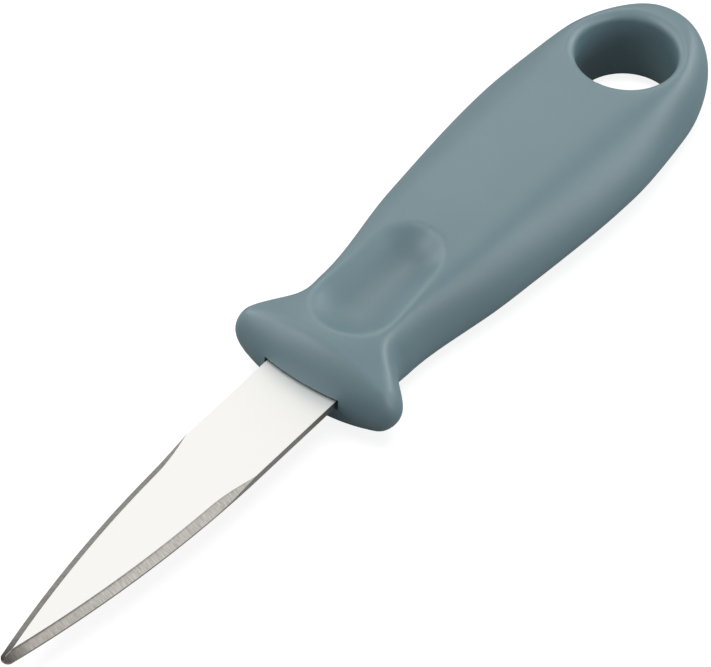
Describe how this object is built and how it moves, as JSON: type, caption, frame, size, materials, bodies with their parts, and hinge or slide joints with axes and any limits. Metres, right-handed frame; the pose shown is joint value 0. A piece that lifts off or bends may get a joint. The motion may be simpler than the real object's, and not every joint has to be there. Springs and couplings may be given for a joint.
{
  "type": "oyster knife",
  "caption": "Oyster knife lying flat: short spear-pointed blade with ground bevels, soft moulded handle with winged finger guard, thumb dish and large hang hole.",
  "frame": {"origin": "under the middle of the knife, at its lowest level as it lies flat", "axes": "+X along the blade to its tip, +Z out of the blade's ground upper face"},
  "size_m": [0.1756, 0.0332, 0.0176],
  "materials": {
    "blade": "polished faces with cross-ground bevels",
    "handle_core": "moulded",
    "soft_grip": "soft-touch matt"
  },
  "bodies": {
    "root": {"blade": "blade", "handle_core": "handle_core", "soft_grip": "soft_grip"}
  },
  "joints": []
}
